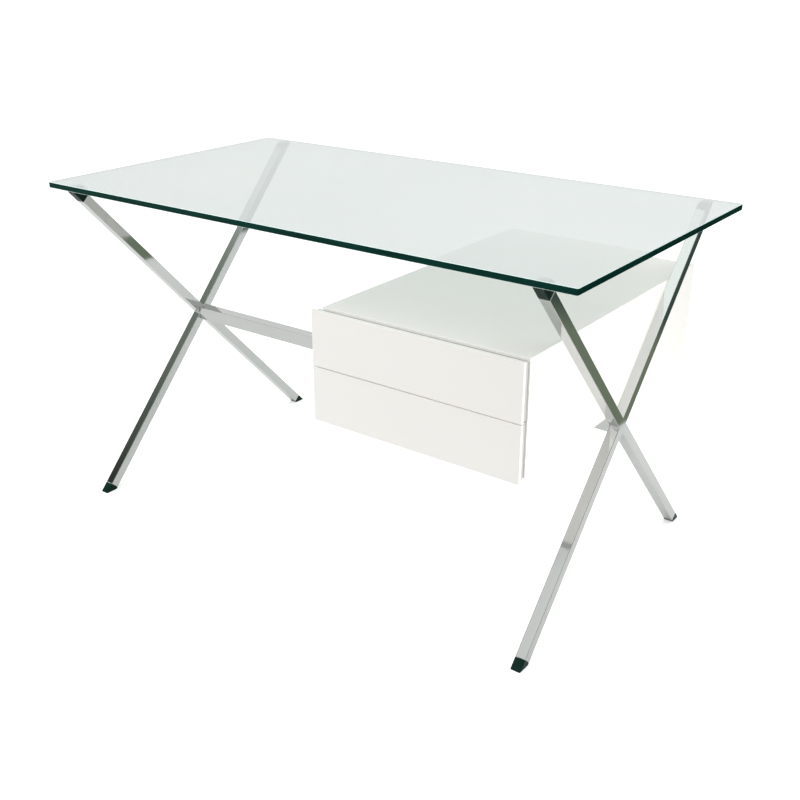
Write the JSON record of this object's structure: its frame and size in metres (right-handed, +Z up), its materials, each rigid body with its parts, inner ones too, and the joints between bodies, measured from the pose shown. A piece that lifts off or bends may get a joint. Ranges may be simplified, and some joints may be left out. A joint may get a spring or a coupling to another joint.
{
  "type": "manicure table",
  "caption": "Long glass-topped manicure table on two crossed chrome tube ends, with a stretcher rail carrying a white case of two sliding drawers.",
  "frame": {"origin": "on the floor, under the middle of the glass", "axes": "+X along the table's length to the right as its user sits, +Y to the back, +Z up; the drawers open towards -Y"},
  "size_m": [1.22, 0.6734, 0.7],
  "materials": {
    "glass": "clear float glass, polished edge with a dark green depth",
    "chrome": "polished chrome plate",
    "rubber": "matt black moulded",
    "lacquer": "white satin lacquer on board",
    "drawer_board": "off-white faced board",
    "steel": "bright zinc plate"
  },
  "bodies": {
    "root": {"glass_top": "glass", "stretcher_rail": "chrome", "hub_left": "chrome", "hub_right": "chrome", "arm_upper_front_left": "chrome", "arm_lower_front_left": "chrome", "pad_front_left": "rubber", "foot_front_left": "rubber", "bracket_front_left": "steel", "screw_front_left": "steel", "arm_upper_rear_left": "chrome", "arm_lower_rear_left": "chrome", "pad_rear_left": "rubber", "foot_rear_left": "rubber", "bracket_rear_left": "steel", "screw_rear_left": "steel", "bolt_left": "steel", "nut_left": "steel", "case_side_left": "lacquer", "arm_upper_front_right": "chrome", "arm_lower_front_right": "chrome", "pad_front_right": "rubber", "foot_front_right": "rubber", "bracket_front_right": "steel", "screw_front_right": "steel", "arm_upper_rear_right": "chrome", "arm_lower_rear_right": "chrome", "pad_rear_right": "rubber", "foot_rear_right": "rubber", "bracket_rear_right": "steel", "screw_rear_right": "steel", "bolt_right": "steel", "nut_right": "steel", "case_side_right": "lacquer", "case_top": "lacquer", "case_bottom": "lacquer", "case_back": "lacquer", "slide_case_lower_left": "steel", "slide_case_lower_right": "steel", "slide_case_upper_left": "steel", "slide_case_upper_right": "steel"},
    "drawer_lower": {"drawer_lower_front": "lacquer", "drawer_lower_inner_front": "lacquer", "drawer_lower_side_left": "drawer_board", "drawer_lower_side_right": "drawer_board", "drawer_lower_bottom": "drawer_board", "drawer_lower_back": "drawer_board", "slide_drawer_lower_left": "steel", "slide_drawer_lower_right": "steel"},
    "drawer_upper": {"drawer_upper_front": "lacquer", "drawer_upper_inner_front": "lacquer", "drawer_upper_side_left": "drawer_board", "drawer_upper_side_right": "drawer_board", "drawer_upper_bottom": "drawer_board", "drawer_upper_back": "drawer_board", "slide_drawer_upper_left": "steel", "slide_drawer_upper_right": "steel"}
  },
  "joints": [
    {"name": "drawer_lower_slide", "type": "slide", "parent": "root", "child": "drawer_lower", "axis": [0, -1, 0], "range_m": [0, 0.36]},
    {"name": "drawer_upper_slide", "type": "slide", "parent": "root", "child": "drawer_upper", "axis": [0, -1, 0], "range_m": [0, 0.36]}
  ]
}
